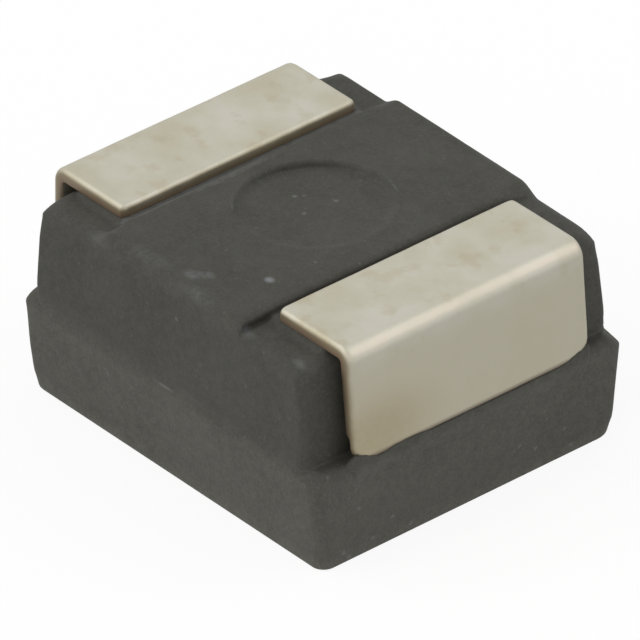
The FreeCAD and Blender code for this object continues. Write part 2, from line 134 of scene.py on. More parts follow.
class StageSettings(bpy.types.PropertyGroup):
    """Camera, light and floor."""

    azimuth: number("Azimuth", "Camera angle round the part, in degrees", 51.034)
    elevation: number("Elevation", "Camera angle over the floor, in degrees", 33.234)
    roll: number("Roll", "Camera turn about its own axis, in degrees", -1.487)
    distance: length("Distance", "From the camera to the point it is aimed at", 100)
    aim_height: length("Aim height", "Height of the point that the camera is set by", 0.9)
    aim_right: number("Aim right", "Pixels from the middle to that point", -0.095)
    aim_down: number("Aim down", "Pixels from the middle to that point", -17.361)
    pixels_per_mm: number("Pixels per mm", "Scale of the picture at that point", 138.64)
    sky: number("Sky", "Strength of the even light", 0.445, min=0)
    mirror: number("Mirror", "Strength of the sky in reflections", 0.86, min=0)
    glow: number("Glow", "Strength of the light that comes from the floor", 0.2, min=0)
    shine: number("Shine", "Strength of the floor in reflections", 0.60, min=0)
    front_left: number("Front left", "Strength of the light in front on the left", 0.7, min=0)
    back_right: number("Back right", "Strength of the light behind on the right", 0.25, min=0)


# Surfaces ---------------------------------------------------------------


def uneven(points, size, seed):
    """A smooth number from 0 to 1 at each point: the mean of nine sine waves that run in
    seeded directions, each about one size long."""
    draw = np.random.default_rng(seed)
    waves = draw.normal(size=(9, 3))
    pitch = (2 * math.pi / size) * draw.uniform(0.6, 1.6, (9, 1))
    waves *= pitch / np.linalg.norm(waves, axis=1, keepdims=True)
    phases = draw.uniform(0, 2 * math.pi, 9)
    return 0.5 + 0.5 * np.sin(points @ waves.T + phases).mean(axis=-1)


def in_mm(sizes):
    """The lengths of a property group as plain numbers in millimetres."""
    return SimpleNamespace(**{key: getattr(sizes, key) / MM for key in type(sizes).__annotations__})


def ease(value, low, high):
    """0 below low, 1 above high and a smooth S between them."""
    t = np.clip((value - low) / (high - low), 0, 1)
    return t * t * (3 - 2 * t)


def bell(value, centre, width):
    """1 at the centre, falling off smoothly on both sides of it."""
    return np.exp(-(((value - centre) / width) ** 2))


def quarter(steps):
    """The angles of a quarter turn in equal steps."""
    return np.linspace(0, math.pi / 2, steps + 1)


def add_object(name, data):
    """An object of the scene that carries this mesh, camera or lamp."""
    made = bpy.data.objects.new(name, data)
    bpy.context.scene.collection.objects.link(made)
    return made


def make_piece(name, points, quads, material, values, loose):
    """A mesh object at the origin from points in millimetres, blocks of quads and loose
    faces, shaded smooth. Each of the values is a number per point that the finish reads."""
    mesh = bpy.data.meshes.new(name)
    faces = [face for block in quads for face in block.tolist()]
    mesh.from_pydata((points * MM).tolist(), [], faces + loose)
    mesh.validate()
    if not mesh.polygons:
        raise RuntimeError(name + " has no faces")
    for key, numbers in values.items():
        layer = mesh.attributes.new(key, "FLOAT", "POINT")
        layer.data.foreach_set("value", numbers.astype(np.float32))
    mesh.materials.append(bpy.data.materials[material])
    mesh.shade_smooth()
    piece = add_object(name, mesh)
    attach(piece, "root")
    return piece


def ring_quads(count, rings, first=0):
    """Quads between consecutive closed rings of count points each."""
    k, n = np.meshgrid(np.arange(rings - 1), np.arange(count), indexing="ij")
    a = first + k * count + n
    b = first + k * count + (n + 1) % count
    return np.stack([a, b, b + count, a + count], -1).reshape(-1, 4)


def tube_faces(count, rings):
    """Faces of a closed tube that point outwards: quads between its rings, and two caps."""
    last = (rings - 1) * count
    caps = [list(range(count)), list(range(last, last + count))[::-1]]
    return [ring_quads(count, rings)[:, ::-1]], caps


def line_places(half, radius, inner, stretch, corner):
    """Places of a face's grid lines from one side to the other. The inner lines stay, the
    next ones share the room up to the corner, and the last ones share the corner's radius."""
    reach = inner[-1]
    outer = reach + (half - radius - reach) * stretch
    one = np.r_[inner, outer, half - radius + radius * corner]
    return np.r_[-one[:0:-1], one]


def in_corner(value, half, radius):
    """How far a place lies into the corner's radius: 0 before it and 1 at the outside."""
    return np.clip((np.abs(value) - half + radius) / radius, 0, 1)


def soften(x, y, half_x, half_y, radius):
    """Carries a rectangle's points to a rounded rectangle: inside each corner square the
    point (u, v) goes to (u sqrt(1 - v^2 / 2), v sqrt(1 - u^2 / 2)) of the corner's radius."""
    u, v = in_corner(x, half_x, radius), in_corner(y, half_y, radius)
    sx = np.minimum(np.abs(x), half_x - radius) + radius * u * np.sqrt(1 - v * v / 2)
    sy = np.minimum(np.abs(y), half_y - radius) + radius * v * np.sqrt(1 - u * u / 2)
    return np.sign(x) * sx, np.sign(y) * sy


def border(nx, ny):
    """Column and row of each point round the border of a grid, anticlockwise from above."""
    right, up = np.arange(nx - 1), np.arange(ny - 1)
    i = np.r_[right, 0 * up + nx - 1, nx - 1 - right, 0 * up]
    j = np.r_[0 * right, up, 0 * right + ny - 1, ny - 1 - up]
    return i, j


class CaseForm:
    """The outside of the case as one closed sheet, in millimetres.

    Rings climb from the marked face to the rim, over the ledge and up the mounting half,
    and a grid closes the top. Along a side the top stands at the pad's height within the
    two steps and at the shelf's height beyond them."""

    END_DRAFT = math.tan(math.radians(3.7))
    SIDE_DRAFT = math.tan(math.radians(3.2))
    RIM_END_DRAFT = math.tan(math.radians(2.6))
    RIM_SIDE_DRAFT = math.tan(math.radians(4.8))
    STEP_ROUND = 0.055
    FILLET = 0.022
    # The pin's mark: its middle, the direction of its steep side and its burrs' height.
    MARK_X, MARK_Y = -0.037, 0.018
    DEEP_SIDE = math.radians(150)
    BURR = 0.016
    SOFT_SLOPE, STEEP_SLOPE = 0.085, 0.02
    # What the upright corners' radius gains at the marked face, at the rim's edge, at the
    # foot of the mounting half and at its top.
    BASE_FLARE, RIM_FLARE, FOOT_FLARE, TOP_FLARE = 0.045, 0.12, 0.07, 0.03
    # How worn the upright corners and the top's edge are.
    CORNER_WEAR, TOP_WEAR = 0.84, 0.45
    # Resin that crept under the feet: its height, and where along Y it ends.
    CREEP_HEIGHT, CREEP_ENDS = 0.040, (1.07, 1.13)
    # Grid lines over the mark, a plain gap apart, and round each step of the pad.
    LINE_GAP = 0.0125
    STEP_LINES = (-0.060, -0.050, -0.040, -0.030, -0.021, -0.013, -0.006, -0.001, 0.0,
                  0.004, 0.012, 0.022, 0.040, 0.070, 0.100)

    def __init__(self, sizes):
        self.s = sizes
        self.inner_y = np.arange(0, sizes.mark_radius + 0.05, self.LINE_GAP)
        step_lines = sizes.pad_half + np.array(self.STEP_LINES)
        self.inner_x = np.r_[self.inner_y, [0.66, 0.69, 0.715], step_lines]
        self.stretch_x, self.stretch_y, self.corner = (
            np.linspace(0, 1, n)[1:] for n in (19, 23, 8))

    def lines(self, half_x, half_y):
        """The grid's lines along X and along Y for a ring of these half sizes."""
        radius = self.s.corner_round
        xs = line_places(half_x, radius, self.inner_x, self.stretch_x, self.corner)
        ys = line_places(half_y, radius, self.inner_y, self.stretch_y, self.corner)
        return xs, ys

    def on_pad(self, x, slope):
        """1 on the pad and 0 beyond its steps. The step's edge is rounded, less at the far
        end, and where slope is 1, at the case's sides, the step is a gentle slope."""
        s = self.s
        radius = np.where(x > 0, self.STEP_ROUND, 0.5 * self.STEP_ROUND)
        past = np.clip(np.abs(x) - (s.pad_half - radius), 0, radius)
        drop = radius - np.sqrt(radius**2 - past**2)
        foot = np.clip((np.abs(x) - s.pad_half) / 0.03, 0, 1)
        below = 0.014 * (1 - foot) ** 2
        rise = np.where(np.abs(x) <= s.pad_half, s.pad_rise - drop, below)
        out = np.where(x > 0, 0.0, 0.05)
        gentle = 1 - ease(np.abs(x), s.pad_half - 0.14 + out, s.pad_half + 0.05 + out)
        return (1 - slope) * rise / s.pad_rise + slope * gentle

    def slope_at(self, x, y):
        """How gentle the step is at the case's sides: all but sharp at one corner."""
        return np.where((x > 0) & (y < 0), 0.15, 1.0)

    def mounting_half_sizes(self, z):
        """Half length and half width of the mounting half at a height."""
        s = self.s
        root = s.rim_height - s.rim_round
        half_x = s.half_length - s.end_ledge - (z - root) * self.END_DRAFT
        half_y = s.half_width - s.side_ledge - (z - root) * self.SIDE_DRAFT
        return half_x, half_y

    def lower_levels(self):
        """Ring by ring from the marked face to the foot of the mounting half: half length
        and height at the ends, half width and height at the sides, the radius of the
        upright corners, and what each corner adds to it near the marked face and the rim."""
        s = self.s
        top, rim, fillet = s.rim_height, s.rim_round, self.FILLET
        base_x = s.half_length - top * self.RIM_END_DRAFT
        base_y = s.half_width - top * self.RIM_SIDE_DRAFT
        turn = quarter(4)
        wall = np.linspace(s.base_round, top - rim, 14)[1:]
        low = np.r_[s.base_round * (1 - np.cos(turn)), wall]
        inset = np.r_[s.base_round * (1 - np.sin(turn)), 0 * wall]
        ends = [np.stack([base_x - inset + low * self.RIM_END_DRAFT, low], -1)]
        turn = quarter(8)[1:]
        ends.append(ends[0][-1] + rim * np.stack([np.cos(turn) - 1, np.sin(turn)], -1))
        root_x, root_y = self.mounting_half_sizes(top + fillet)
        flat = np.array([root_x + fillet, top])
        ends.append(ends[1][-1] + (flat - ends[1][-1]) * np.linspace(0, 1, 6)[1:, None])
        turn = quarter(5)[1:]
        ends.append(flat + fillet * np.stack([-np.sin(turn), 1 - np.cos(turn)], -1))
        # Along the sides there is no ledge: the wall swings in over the same rings.
        rise = top - rim + (rim + fillet) * np.linspace(0, 1, 19)[1:]
        above = base_y + rise * self.RIM_SIDE_DRAFT
        swing = ease(rise, top - rim, top + fillet)
        sides = [np.stack([base_y - inset + low * self.RIM_SIDE_DRAFT, low], -1)]
        sides.append(np.stack([above + (root_y - above) * swing, rise], -1))
        # The upright corners are wider at the marked face and at the rim's edge.
        at_rim = s.corner_round + self.RIM_FLARE * np.sin(quarter(8)[1:])
        ledge = np.linspace(at_rim[-1], s.upper_corner + self.FOOT_FLARE, 6)[1:]
        root = s.upper_corner + np.linspace(self.FOOT_FLARE, self.TOP_FLARE, 6)[1:]
        radii = np.r_[s.corner_round + 0 * low, at_rim, ledge, root]
        near_base = np.r_[self.BASE_FLARE * (1 - ease(low, 0, 0.16)), np.zeros(18)]
        near_rim = np.r_[0.04 * ease(low, 0.3, top - rim), np.linspace(0.04, 0.05, 8),
                         np.linspace(0.05, 0, 6)[1:], np.zeros(5)]
        return np.concatenate(ends), np.concatenate(sides), radii, zip(near_base, near_rim)

    def walls(self, xs, ys, i, j):
        """Every ring from the marked face to the top's edge, and the wear along it, with painted shade at the
        near step's corner.
        """
        s = self.s
        radius = s.corner_round
        at_x, at_y = xs[i], ys[j]
        away_x = in_corner(at_x, s.half_length, radius)
        away_y = in_corner(at_y, s.half_width, radius)
        normal = np.column_stack([np.sign(at_x) * away_x * np.sqrt(1 - away_y**2 / 2),
                                  np.sign(at_y) * away_y * np.sqrt(1 - away_x**2 / 2)])
        normal /= np.linalg.norm(normal, axis=1, keepdims=True)
        at_end = normal[:, 0] ** 2
        wear_and_painted_light = self.CORNER_WEAR * np.abs(normal[:, 0] * normal[:, 1])
        own_base, own_rim = self.own_corner(at_x, at_y), 1.1 * ((at_x <= 0) & (at_y <= 0))
        rings, edges = [], []
        for (half_x, z_end), (half_y, z_side), base, (near_base, near_rim) in zip(*self.lower_levels()):
            xs, ys = self.lines(half_x, half_y)
            bend = base + near_base * own_base + near_rim * own_rim
            x, y = soften(xs[i], ys[j], half_x, half_y, bend)
            rings.append(np.column_stack([x, y, z_end * at_end + z_side * (1 - at_end)]))
            edges.append(wear_and_painted_light)
        xs, ys = self.lines(*self.mounting_half_sizes(s.shelf_height))
        at_x, at_y = xs[i], ys[j]
        top = s.shelf_height + s.pad_rise * self.on_pad(at_x, self.slope_at(at_x, at_y))
        rounding = s.shelf_round * at_end + self.side_round(at_x, at_y) * (1 - at_end)
        foot = s.rim_height + self.FILLET
        for t in np.linspace(0, 1, 15)[1:]:
            z = foot + t * (top - rounding - foot)
            bend = s.upper_corner + self.TOP_FLARE * (ease(t, 0.7, 1.0) + 1 - ease(t, 0, 0.2))
            rings.append(self.upper_ring(z, z[at_end > 0.99].mean(), i, j, 0 * rounding, bend))
            edges.append(wear_and_painted_light)
        for turn in quarter(8)[1:]:
            inset = rounding * (1 - math.cos(turn))
            bend = self.top_corner(at_x, at_y, math.sin(turn))
            z_end = s.shelf_height - s.shelf_round
            rings.append(self.upper_ring(top - rounding, z_end, i, j, inset, bend))
            rings[-1][:, 2] += rounding * math.sin(turn)
            # Painted shade on the top's rounded edge in the near step's corner.
            crease_shade = self.crease(at_x, at_y) * (at_y < 0) * ease(turn, 0.5, 1.2)
            edges.append(np.maximum(wear_and_painted_light, self.TOP_WEAR * math.sin(2 * turn)) * (1 - crease_shade) - crease_shade)
        # The faces wander a little, always inwards, and least at the marked face.
        body = np.concatenate(rings)
        wander = s.unevenness * (uneven(body, 0.9, 3) + 0.5 * uneven(body, 0.22, 4))
        inward = np.tile(normal, (len(rings), 1)) * (wander * ease(body[:, 2], 0.0, 0.06))[:, None]
        body[:, :2] -= inward
        return body, np.concatenate(edges)

    def top_face(self):
        """The top's grid of points, whose border is the last ring, and the painted light and shade on it."""
        s = self.s
        radius, shelf = s.corner_round, s.shelf_height
        half_x, half_y = (h - s.shelf_round for h in self.mounting_half_sizes(shelf - s.shelf_round))
        gx, gy = np.meshgrid(*self.lines(half_x, half_y), indexing="ij")
        x, y = soften(gx, gy, half_x, half_y, self.top_corner(gx, gy, 1.0))
        slope = self.slope_at(gx, gy)
        at_end = in_corner(gx, half_x, radius) ** 2 * (1 - in_corner(gy, half_y, radius) ** 2 / 2)
        rounding = s.shelf_round * at_end + self.side_round(gx, gy) * (1 - at_end)
        wider = self.side_widening(self.on_pad(gx, slope), rounding)
        y = y + np.sign(gy) * wider * self.outer_share(gy, half_y)
        z = shelf + s.pad_rise * self.on_pad(gx, slope * ease(np.abs(gy), half_y - 0.25, half_y))
        # Resin has crept under the ends of the feet.
        crept = (np.abs(gx) > s.pad_half - 0.0005) * (1 - ease(np.abs(gy), *self.CREEP_ENDS))
        z = np.maximum(z, shelf + self.CREEP_HEIGHT * crept)
        points = np.stack([x, y, z + self.mark(x, y)], -1)
        inside = ease(half_x - np.abs(gx), 0, 0.05) * ease(half_y - np.abs(gy), 0, 0.05)
        points[..., 2] -= s.unevenness * inside * (uneven(points, 1.1, 5) + 0.5 * uneven(points, 0.25, 6))
        # Painted light: a highlight along the far step's edge, light in the groove under its foot where shade
        # falls, and highlights on the mark's burrs.
        # Painted shade: the corner of the near step and the mark's steep wall.
        far_step_highlight = bell(gx, 0.022 - s.pad_half, 0.018)
        painted_groove_light = ease(-gx, s.pad_half - 0.03, s.pad_half - 0.01) * (-gx < LEG_LOW.x / MM + 0.02)
        step = np.maximum(far_step_highlight * (1 - ease(np.abs(gy + 0.45), 0.45, 0.85)), painted_groove_light * (np.abs(gy) < 1.12))
        off, burr, away = self.lips(x, y)
        # Painted shade on the mark's steep wall, and painted highlights on its burrs.
        wall = bell(off, -0.012, 0.014) * bell(away, 0, 0.85)
        return points, np.maximum(step, burr) - np.maximum(self.crease(gx, gy), 0.7 * wall)

    def build(self):
        """All points, the blocks of quads, the middle's triangles, and the wear with the painted light and
        shade.
        """
        xs, ys = self.lines(self.s.half_length, self.s.half_width)
        i, j = border(len(xs), len(ys))
        loop = len(i)
        body, wear_and_painted_light = self.walls(xs, ys, i, j)
        # The marked face is closed by smaller rings down to one point.
        inner = [body[:loop] * (f, f, 0) for f in (0.25, 0.5, 0.75, 0.9)]
        points = np.concatenate([np.zeros((1, 3)), *inner, body])
        wear_and_painted_light = np.r_[np.zeros(1 + len(inner) * loop), wear_and_painted_light]
        top, rubbed_and_painted_light = self.top_face()
        ids = np.full(rubbed_and_painted_light.shape, -1)
        ids[i, j] = len(points) - loop + np.arange(loop)
        inside = ids < 0
        ids[inside] = len(points) + np.arange(inside.sum())
        rings = (len(points) - 1) // loop
        points = np.r_[points, top[inside]]
        wear_and_painted_light = np.r_[wear_and_painted_light, rubbed_and_painted_light[inside]]
        cells = np.stack([ids[:-1, :-1], ids[1:, :-1], ids[1:, 1:], ids[:-1, 1:]], -1).reshape(-1, 4)
        centre = [[0, 1 + (n + 1) % loop, 1 + n] for n in range(loop)]
        return points, [ring_quads(loop, rings, 1), cells], centre, wear_and_painted_light

    def crease(self, x, y):
        """Painted shade in the corner of the near step, most of it towards one side."""
        return bell(x, self.s.pad_half + 0.006, 0.022) * (1 - 0.5 * ease(y, -1.28, 1.30))

    def own_corner(self, x, y):
        """How round each upright corner is next to the others; no two are alike."""
        return np.select([(x > 0) & (y > 0), (x <= 0) & (y <= 0), x > 0], [1.6, 1.1, 0.1], 0.5)

    def top_corner(self, x, y, share):
        """Radius of the upright corners where they meet the top."""
        return self.s.upper_corner + self.TOP_FLARE + (0.10 + 0.05 * self.own_corner(x, y)) * share

    def side_round(self, x, y):
        """Radius of the top's long edges; along one of them it grows from end to end."""
        return self.s.pad_round * (1 + 0.8 * x / self.s.half_length * (y > 0))

    def side_widening(self, pad, rounding):
        """How much wider the top is at a place than its ends make it."""
        s = self.s
        sharper = s.shelf_round - rounding
        return sharper - (s.pad_rise * pad + sharper) * self.SIDE_DRAFT

    def outer_share(self, y, half_y):
        """0 on the inner grid lines, growing to 1 at the side."""
        return np.clip((np.abs(y) - self.inner_y[-1]) / (half_y - self.inner_y[-1]), 0, 1)

    def upper_ring(self, z, z_end, i, j, inset, radius):
        """One ring of the mounting half, each point at its own height and inset."""
        half_x, half_y = (half - float(inset[np.argmax(i)]) for half in self.mounting_half_sizes(z_end))
        xs, ys = self.lines(half_x, half_y)
        x, y = soften(xs[i], ys[j], half_x, half_y, radius)
        own_half = self.mounting_half_sizes(z)[1] - inset
        y = y + np.sign(y) * (own_half - half_y) * self.outer_share(ys[j], half_y)
        return np.column_stack([x, y, z])

    def lips(self, x, y):
        """Distance from the mark's rim, how much of a burr stands there, and the angle from
        the mark's steep side: two burrs, one to each side of the wall that shows."""
        off = np.hypot(x - self.MARK_X, y - self.MARK_Y) - self.s.mark_radius
        away = np.angle(np.exp(1j * (np.arctan2(y, x) - self.DEEP_SIDE)))
        return off, bell(np.abs(away), 1.32, 0.34) * bell(off, 0.012, 0.016), away

    def mark(self, x, y):
        """The pin's mark: a shallow round recess, steep on one side and soft on the other."""
        off, burr, away = self.lips(x, y)
        steep = 0.5 + 0.5 * np.cos(away)
        slope = self.SOFT_SLOPE + (self.STEEP_SLOPE - self.SOFT_SLOPE) * steep**2
        across = (x * math.cos(self.DEEP_SIDE) + y * math.sin(self.DEEP_SIDE)) / self.s.mark_radius
        tilt = 0.5 + 0.5 * np.clip(across, -1, 1)
        recess = -self.s.mark_depth * (0.25 + 0.75 * tilt) * (1 - ease(off, -slope, 0.012))
        return recess + self.BURR * burr


def rounded_run(points, radii, runs, turns):
    """Points along straight runs joined by arcs: each corner's arc starts and ends a
    tangent length r tan(angle / 2) away from the corner. runs and turns say how many
    steps each straight and each arc gets."""
    points = np.array(points, float)
    heading = np.diff(points, axis=0)
    heading /= np.linalg.norm(heading, axis=1, keepdims=True)
    pieces, start = [], points[0]
    for n, radius in enumerate(radii):
        before, after, corner = heading[n], heading[n + 1], points[n + 1]
        angle = math.atan2(before[0] * after[1] - before[1] * after[0], before @ after)
        tangent = radius * math.tan(abs(angle) / 2)
        enter = corner - before * tangent
        pieces.append(start + (enter - start) * np.linspace(0, 1, runs[n] + 1)[:-1, None])
        side = math.copysign(1, angle)
        normal = side * np.array([-before[1], before[0]])
        centre = enter + normal * radius
        turn = np.linspace(0, abs(angle), turns + 1)[:-1, None]
        pieces.append(centre - normal * radius * np.cos(turn) + before * radius * np.sin(turn))
        start = corner + after * tangent
    pieces.append(start + (points[-1] - start) * np.linspace(0, 1, runs[-1] + 1)[:, None])
    return np.concatenate(pieces)


class StripForm:
    """A terminal as a flat strip carried along its outer and inner lines, in millimetres.

    The section is a rounded rectangle: across is its place over the width and depth its
    place from the outer line (0) to the inner one (1). The width follows the foot's tip,
    the leg's rounded lower corners, the neck and the tab."""

    # Steps over a face, a side and a rolled edge, and stations of the rolled tip.
    FACE, SIDE, TURN, TIP = 44, 4, 4, 7
    # Radius of the foot's corners, the height over which a place belongs to the foot, how
    # much of the tip's roll its lower edge has, and how bare the tip's cut is.
    FOOT_CORNER = 0.04
    FOOT_LEVEL = 1.4
    TIP_DEPTH, TIP_CUT = 0.35, 0.55
    # How ragged the cut edges are, coarsely and finely.
    RAG, FINE_RAG = 0.006, 0.004

    def __init__(self, sizes, tab_half, case):
        self.s, self.tab_half, self.rim = sizes, tab_half, case.rim_height
        self.end_face = case.half_length - case.end_ledge

    def section(self):
        """Signed side, inset from the side, depth and share of bare edge, once round the
        strip: the outer face, a wide roll, the side, a small roll and the inner face."""
        r, t = self.s.edge_round, self.s.strip
        small = 0.4 * r
        face = np.linspace(-1, 1, self.FACE + 1)
        turn = quarter(self.TURN)
        roll = r * (1 - np.cos(turn[1:])) / t
        side = (r + (t - r - small) * np.linspace(0, 1, self.SIDE + 2)[1:-1]) / t
        under = (t - small + small * np.sin(turn)) / t
        half = [np.concatenate(column) for column in zip(
            (face, 0 * face + r, 0 * face, 0 * face),
            (0 * roll + 1, r * (1 - np.sin(turn[1:])), roll, roll),
            (0 * side + 1, 0 * side, side, side),
            (0 * under + 1, small * (1 - np.cos(turn)), under, under * np.cos(turn)))]
        inner = -face[1:-1]
        inner = inner, 0 * inner + small, 0 * inner + 1, 0 * inner
        mirrored = [sign * column[:self.FACE:-1] for sign, column in zip((-1, 1, 1, 1), half)]
        return [np.concatenate(column) for column in zip(half, inner, mirrored)]

    def half_width(self, x, z):
        """Half the strip's width at a place of its profile: on the foot, on the leg with its
        rounded lower corners, at the neck where it enters the case, and on the tab."""
        s, corner = self.s, self.FOOT_CORNER
        neck = s.half_width - s.shoulder_round
        tip = np.clip(corner - (x - s.foot_end), 0, corner)
        on_foot = s.half_width - corner + np.sqrt(corner**2 - tip**2)
        up = np.clip(self.rim + s.shoulder_round - z, 0, s.shoulder_round)
        on_leg = neck + np.sqrt(s.shoulder_round ** 2 - up**2)
        # Behind the leg the strip has the neck's width, and low down its inner half has too.
        inside = ease(s.leg_exit - s.strip - 0.03 - x, 0, 0.02)
        behind = ease(s.leg_exit - 0.06 - x, 0, 0.08) * (1 - ease(z, 0.95, 1.05))
        inside = np.maximum(inside, behind)
        width = np.where(z > self.FOOT_LEVEL, on_foot, on_leg * (1 - inside) + neck * inside)
        in_case = ease(self.end_face - 0.1 - x, 0, 0.02)
        return np.where(z > self.FOOT_LEVEL + 0.1, width, width * (1 - in_case) + self.tab_half * in_case)

    def build(self, outer, inner):
        """Points, quads, caps, and the cut and bend values from the strip's two lines."""
        across, inset, depth, cut = self.section()
        r, strip = self.s.tip_round, self.s.strip
        # The first stations roll the tip's upper edge over, and the tip itself is a flat cut.
        turn = quarter(self.TIP - 1)
        lead = r * (1 - np.cos(turn))[:, None]
        along = (outer[1] - outer[0]) / np.linalg.norm(outer[1] - outer[0])
        past = np.linalg.norm(outer - outer[0], axis=1) > 1.3 * r
        outer = np.concatenate([outer[0] + lead * along, outer[past]])
        inner = np.concatenate([inner[0] + lead * along, inner[past]])
        shrink = np.zeros((len(outer), 1))
        shrink[:self.TIP, 0] = r * (1 - np.sin(turn))
        near, far = shrink / strip, 1 - self.TIP_DEPTH * shrink / strip
        d = near + depth * (far - near)
        line = outer[:, None, :] * (1 - d[..., None]) + inner[:, None, :] * d[..., None]
        x, z = line[..., 0], line[..., 1]
        points = np.stack([x, across * (self.half_width(x, z) - shrink - inset), z], -1)
        # The outer face wanders inwards.
        inward = np.insert(inner - outer, 1, 0, axis=1)
        inward /= np.linalg.norm(inward, axis=1, keepdims=True)
        wander = self.s.unevenness * (uneven(points, 0.8, 11) + 0.6 * uneven(points, 0.25, 12))
        points += inward[:, None, :] * (wander * (depth < 0.3))[..., None]
        ragged = self.RAG * (uneven(points, 0.12, 13) - 0.5)
        ragged += self.FINE_RAG * (uneven(points, 0.05, 14) - 0.5)
        points[..., 1] -= across * (np.abs(ragged) * cut)
        tip = near * (depth < 0.3)
        tip[0] = self.TIP_CUT * d[0]
        heading = np.gradient(outer, axis=0)
        heading /= np.linalg.norm(heading, axis=1, keepdims=True)
        bend = np.clip(-2.4 * heading[:, 0] * heading[:, 1] - 0.3, 0, 1) * (outer[:, 1] > self.FOOT_LEVEL)
        values = {"cut": np.maximum(cut, tip).reshape(-1), "bend": np.repeat(bend, x.shape[1])}
        return points.reshape(-1, 3), *tube_faces(x.shape[1], x.shape[0]), values


def flash_points(case, strips, side):
    """The resin that climbs a leg's foot, as a closed section carried across the leg: its
    face leaves the rim, leans out to the leg's face and ends there in a thin wavy edge that
    rises at the leg's rounded corners and sinks below the rim beyond them."""
    w, rim = strips.half_width, case.rim_height
    beyond, low, rise, fall = 0.08, rim - 0.16, 0.055, 0.02
    lift, swell, fray = 0.010, 0.030, 0.006
    lean = (strips.leg_exit - strips.leg_foot) / (strips.foot_top - rim)
    y = np.linspace(-w - beyond, w + beyond, 241)
    zero = 0 * y
    wave = uneven(np.column_stack([y, zero, zero + side]), 0.34, 21)
    fine = uneven(np.column_stack([y, zero + side, zero]), 0.07, 22)
    climb = lift + swell * wave * ease(wave, 0.45, 0.7) + fray * fine
    climb = climb + ease(np.abs(y), w - 0.24, w - 0.02) * (rise + 0.03 * fine)
    ending = ease(np.abs(y), w - 0.02, w + 0.05)
    climb = climb * (1 - ending) - fall * ending
    z = low + (rim + climb[:, None] - low) * np.linspace(0, 1, 15)
    face = case.half_length - np.clip(rim - z, 0, None) * CaseForm.RIM_END_DRAFT - 0.002
    leg = strips.leg_exit - (z - rim) * lean + 0.003
    leaving = 1 - ease(np.abs(y), w - 0.03, w + 0.06)[:, None]
    x = face + (leg - face) * ease(z, low, rim) * leaving - 0.05 * (1 - leaving)
    x = np.concatenate([x, x[:, -1:] - 0.03, x[:, :1] - 0.06], axis=1)
    z = np.concatenate([z, z[:, -1:], z[:, :1]], axis=1)
    return np.stack([side * x, np.broadcast_to(side * y[:, None], x.shape), z], -1)


# Finishes ---------------------------------------------------------------


class Graph:
    """A shader tree that is being filled, and the place on the piece in millimetres."""

    def __init__(self, tree, place=None):
        self.tree, self.place = tree, place

    def fill(self, socket, value):
        """Links a socket to another one, or sets its value."""
        if isinstance(value, bpy.types.NodeSocket):
            self.tree.links.new(value, socket)
        else:
            socket.default_value = value

    def node(self, kind, inputs=None, **settings):
        """Adds a shader node, sets its options, fills its inputs and gives its outputs."""
        made = self.tree.nodes.new("ShaderNode" + kind)
        for key, value in settings.items():
            setattr(made, key, value)
        for key, value in (inputs or {}).items():
            self.fill(made.inputs[key], value)
        return made.outputs

    def maths(self, operation, first, second, clamp=False):
        """The result of one sum of numbers."""
        return self.node("Math", {0: first, 1: second}, operation=operation, use_clamp=clamp)[0]

    def times(self, first, second, clamp=False):
        """Two numbers multiplied, and held between 0 and 1 if clamp is set."""
        return self.maths("MULTIPLY", first, second, clamp)

    def plus(self, first, second):
        """Two numbers added."""
        return self.maths("ADD", first, second)

    def vector(self, operation, first, second):
        """The result of one sum of vectors."""
        return self.node("VectorMath", {0: first, 1: second}, operation=operation)[0]

    def blend(self, factor, first, second):
        """A colour mixed from two."""
        return self.node("Mix", {0: factor, 6: first, 7: second}, data_type="RGBA")[2]

    def remap(self, value, low, high, to_low=0.0, to_high=1.0):
        """A value carried smoothly from one range to another."""
        ends = {"From Min": low, "From Max": high, "To Min": to_low, "To Max": to_high}
        return self.node("MapRange", {"Value": value, **ends}, interpolation_type="SMOOTHSTEP")[0]

    def noise(self, scale, detail, roughness=0.5):
        """The value and the colour of a noise at the place."""
        return self.node("TexNoise", {
            "Vector": self.place, "Scale": scale, "Detail": detail, "Roughness": roughness})

    def value(self, name):
        """The piece's own value of that name."""
        return self.node("Attribute", attribute_name=name)["Fac"]

    def height(self):
        """The place's height."""
        return self.node("SeparateXYZ", {0: self.place})["Z"]

    def group(self, source, **inputs):
        """A node group at the place; underscores in the names stand for spaces."""
        named = {key.replace("_", " "): value for key, value in inputs.items()}
        return self.node("Group", {"Place": self.place, **named}, node_tree=bpy.data.node_groups[source])

    def surface(self, inputs, height, depth, strength=1.0):
        """The material's shader, with bump of a depth in millimetres."""
        bump = {"Height": height, "Distance": depth * MM, "Strength": strength}
        shader = self.node("BsdfPrincipled", {**inputs, "Normal": self.node("Bump", bump)[0]})
        self.node("OutputMaterial", {"Surface": shader[0]})

    def white(self, kind, strength):
        """A white background or emission of a strength."""
        return self.node(kind, {"Color": (1, 1, 1, 1), "Strength": strength})[0]

    def by_ray(self, lit, mirrored, seen):
        """The shader that lights the part, the one in its reflections and the one in the
        picture, chosen by the kind of ray."""
        path = self.node("LightPath")
        away = self.node("MixShader", {0: path["Is Glossy Ray"], 1: lit, 2: mirrored})[0]
        return self.node("MixShader", {0: path["Is Camera Ray"], 1: away, 2: seen})[0]


def new_group(name, outputs, **inputs):
    """A node group with a place, numbers or vectors as inputs and numbers as outputs, and
    its own sockets; underscores in the names stand for spaces."""
    tree = bpy.data.node_groups.new(name, "ShaderNodeTree")
    for key, default in {"Place": (0, 0, 0), **inputs}.items():
        kind = "NodeSocketFloat" if isinstance(default, float) else "NodeSocketVector"
        socket = tree.interface.new_socket(key.replace("_", " "), in_out="INPUT", socket_type=kind)
        socket.default_value = default
    for key in outputs:
        tree.interface.new_socket(key, in_out="OUTPUT", socket_type="NodeSocketFloat")
    given = tree.nodes.new("NodeGroupInput").outputs
    leave = tree.nodes.new("NodeGroupOutput").inputs
    return Graph(tree, given["Place"]), given, leave


